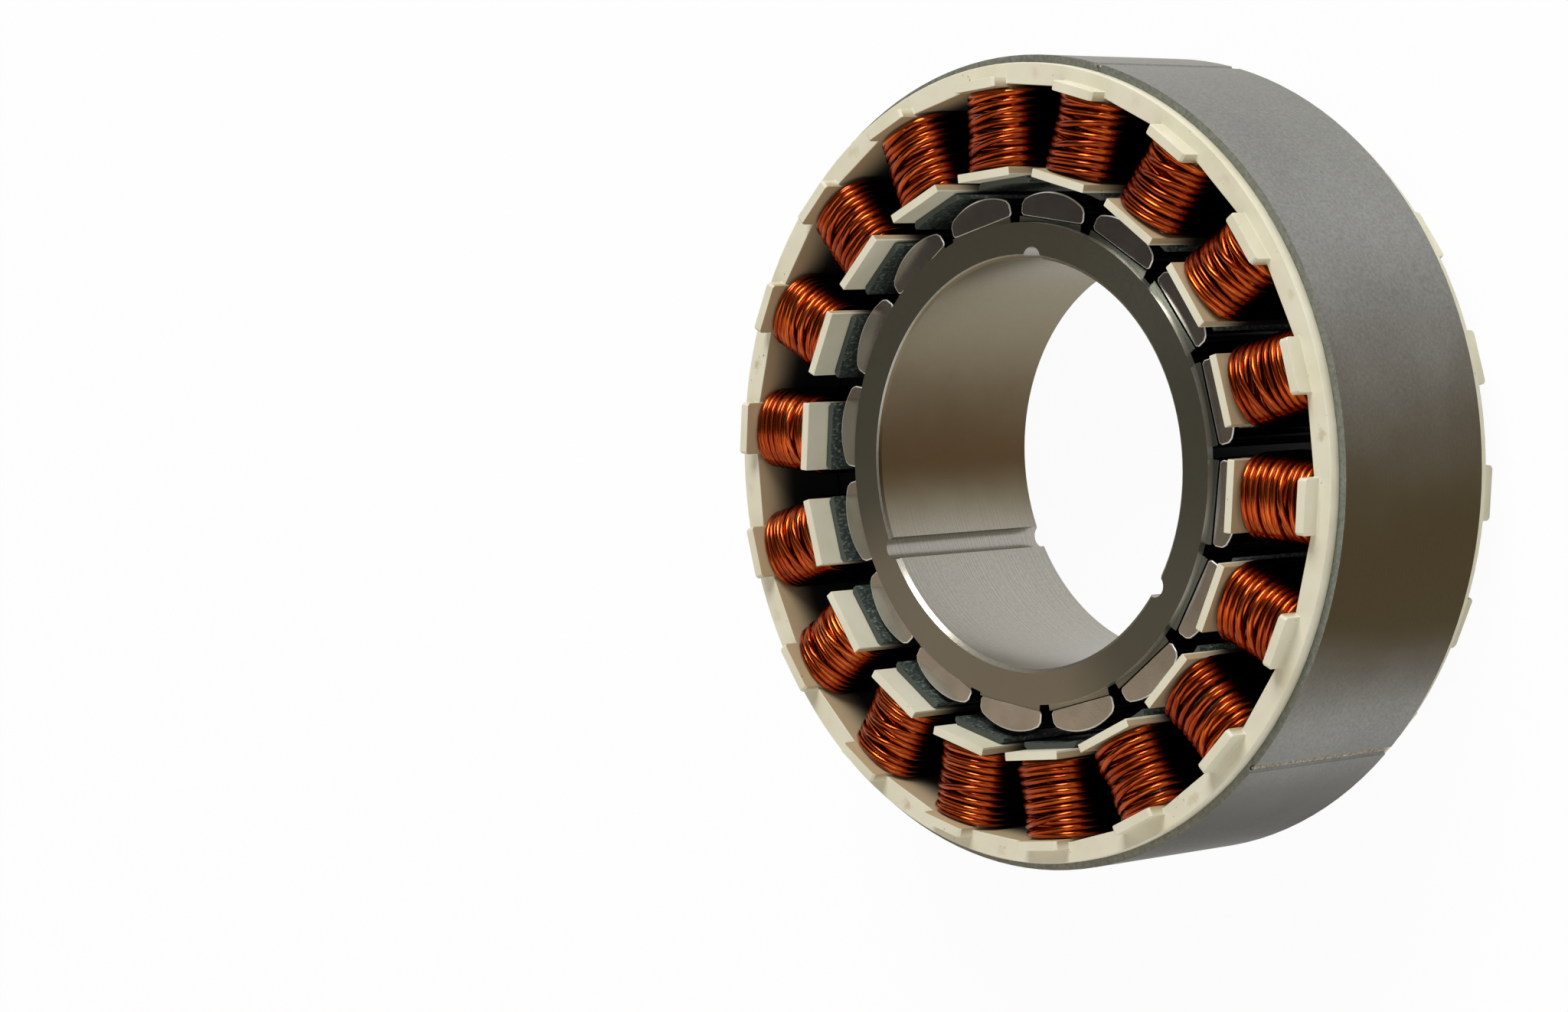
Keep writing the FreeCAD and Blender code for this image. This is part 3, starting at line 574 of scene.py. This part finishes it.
def wind_coil(number, copper):
    """One tooth's winding: a layer of turns going in, and a second one back over it with a few crossed."""
    chance = random.Random(500 + number)
    pitch = (LAST_ROW - FIRST_ROW) / (ROWS - 1)
    points, tones = [], []
    for layer in (0, 1):
        half_width = (COIL_HALF_WIDTH if layer else TOOTH_HALF_WIDTH + WIRE) - WIRE / 2
        way = 1 if layer else -1
        starts = [k if layer else ROWS - 1 - k for k in range(ROWS)]
        stops = [min(max(row + ROW_ADVANCE * way, 0), ROWS - 1) for row in starts]
        crossed = set()
        if layer:
            for k in chance.sample(range(1, ROWS - 3), CROSSINGS):
                if not crossed & {k - 1, k, k + 1}:
                    stops[k], stops[k + 1] = stops[k + 1], stops[k]
                    crossed.add(k)
        starts = [row + chance.uniform(-0.16, 0.16) for row in starts]
        stops = [row + chance.uniform(-0.2, 0.2) for row in stops]
        for k in range(ROWS):
            tone = chance.uniform(0.25, 0.75)
            following = starts[k + 1] if k + 1 < ROWS else stops[k]
            for front, row_from, row_to in ((1, starts[k], stops[k]), (-1, stops[k], following)):
                share = min(max((row_from + row_to) / 2 / (ROWS - 1), 0), 1)
                height = end_turn_height(share, layer) + chance.uniform(-0.14, 0.06)
                lift = CROSSING_LIFT if layer and k in crossed and front > 0 else 0.0
                bow = chance.uniform(-0.2, 0.2)
                bulge = BEND_HEIGHTS[layer] + chance.uniform(-0.3, 0.3)
                for y, z, along in half_turn(half_width, height, bulge, BEND_FULLNESS[layer], BEND_STEPS):
                    ease = along * along * (3 - 2 * along)
                    hump = math.sin(math.pi * along)
                    row = row_from + (row_to - row_from) * ease
                    x = FIRST_ROW + min(max(row, 0), ROWS - 1) * pitch + bow * hump
                    x = min(max(x, FIRST_ROW), LAST_ROW)
                    points.append((x, front * y, front * (z + lift * hump ** 2)))
                    tones.append(tone)
    mesh = sweep_wire(f"winding_{number:02d}", points, tones)
    mesh.materials.append(copper)
    winding = bpy.data.objects.new(f"winding_{number:02d}", mesh)
    turned = Matrix.Rotation(math.radians(-360 / TEETH * number), 4, "Z")
    mesh.transform(Matrix.Translation(UP * STACK_MIDDLE * MM) @ turned)
    bpy.context.scene.collection.objects.link(winding)
    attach(winding, "stator")
    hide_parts(f"coil_{number:02d}")


# Welds

def lay_weld(number, angle, metal):
    """The bead in one groove of the stack: a row of ripples that the torch left from end to end."""
    chance = random.Random(90 + number)
    sides = 10
    steps = 120
    low, high = STACK_ENDS[0] + BEAD_MARGIN, STACK_ENDS[1] - BEAD_MARGIN
    outward = Vector((math.cos(math.radians(angle)), math.sin(math.radians(angle)), 0))
    along = UP.cross(outward)
    points, faces = [], []
    for k in range(steps + 1):
        height = low + (high - low) * k / steps
        ripple = RIPPLE_DEPTH * abs(math.sin(math.pi * height / RIPPLE_PITCH))
        swell = BEAD_THICKNESS + ripple + chance.uniform(-0.008, 0.008)
        swell = swell if 0 < k < steps else BEAD_TIP
        for j in range(sides):
            turn = 2 * math.pi * j / sides
            spot = outward * (BEAD_RADIUS + swell * math.cos(turn))
            spot += along * BEAD_SPREAD * swell * math.sin(turn)
            points.append((spot + UP * height) * MM)
    for k in range(steps):
        for j in range(sides):
            a, b = k * sides + j, k * sides + (j + 1) % sides
            faces.append((a, b, b + sides, a + sides))
    faces.append(tuple(reversed(range(sides))))
    faces.append(tuple(range(steps * sides, (steps + 1) * sides)))
    mesh = bpy.data.meshes.new(f"weld_bead_{number}")
    mesh.from_pydata(points, [], faces)
    mesh.polygons.foreach_set("use_smooth", [True] * len(mesh.polygons))
    mesh.materials.append(metal)
    bead = bpy.data.objects.new(f"weld_bead_{number}", mesh)
    bpy.context.scene.collection.objects.link(bead)
    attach(bead, "stator")


# Pieces kept from the solids

def break_edges(node, width, segments, rim_material=-1):
    """Join the node's faces at their shared edges and round the sharp ones by a width in millimetres."""
    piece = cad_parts[node]
    joined = piece.modifiers.new("joined", "WELD")
    joined.merge_threshold = 0.001 * MM
    rounded = piece.modifiers.new("broken_edges", "BEVEL")
    rounded.width = width * MM
    rounded.segments = segments
    rounded.limit_method = "ANGLE"
    rounded.angle_limit = math.radians(28)
    rounded.use_clamp_overlap = True
    rounded.harden_normals = True
    rounded.material = rim_material


def refinish(node, *finishes):
    """Give a CAD node its finishes, the first one on all its faces."""
    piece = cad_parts[node]
    piece.data.materials.clear()
    for finish in finishes:
        piece.data.materials.append(finish)


place_camera()
lay_floor()
light_studio()

copper = enamelled_copper()
for number in range(1, TEETH + 1):
    wind_coil(number, copper)

refinish("stator_core", electrical_steel())
weld = weld_metal()
for number, angle in enumerate(GROOVE_ANGLES, 1):
    lay_weld(number, angle, weld)
nylon = moulded_nylon()
for node in ("front_end_insulator", "rear_end_insulator"):
    refinish(node, nylon)
    break_edges(node, width=0.14, segments=2)
refinish("rotor_hub", turned_steel())
face_nickel = nickel_plating("ground_nickel", "#9A9894", "#A8A5A1", smooth=0.14, rough=0.22, metal=1.0)
# Tumbled round and matte, the rims are part diffuse, and their near-white colour is a painted highlight that
# catches light from all sides.
rim_nickel_highlight = nickel_plating("nickel_rim_highlight", "#E6E5E2", "#F6F5F3", smooth=0.3, rough=0.42, metal=0.6)
for number in range(1, MAGNETS + 1):
    refinish(f"magnet_{number:02d}", face_nickel, rim_nickel_highlight)
    break_edges(f"magnet_{number:02d}", width=0.4, segments=3, rim_material=1)

bpy.context.scene.view_settings.view_transform = "Standard"
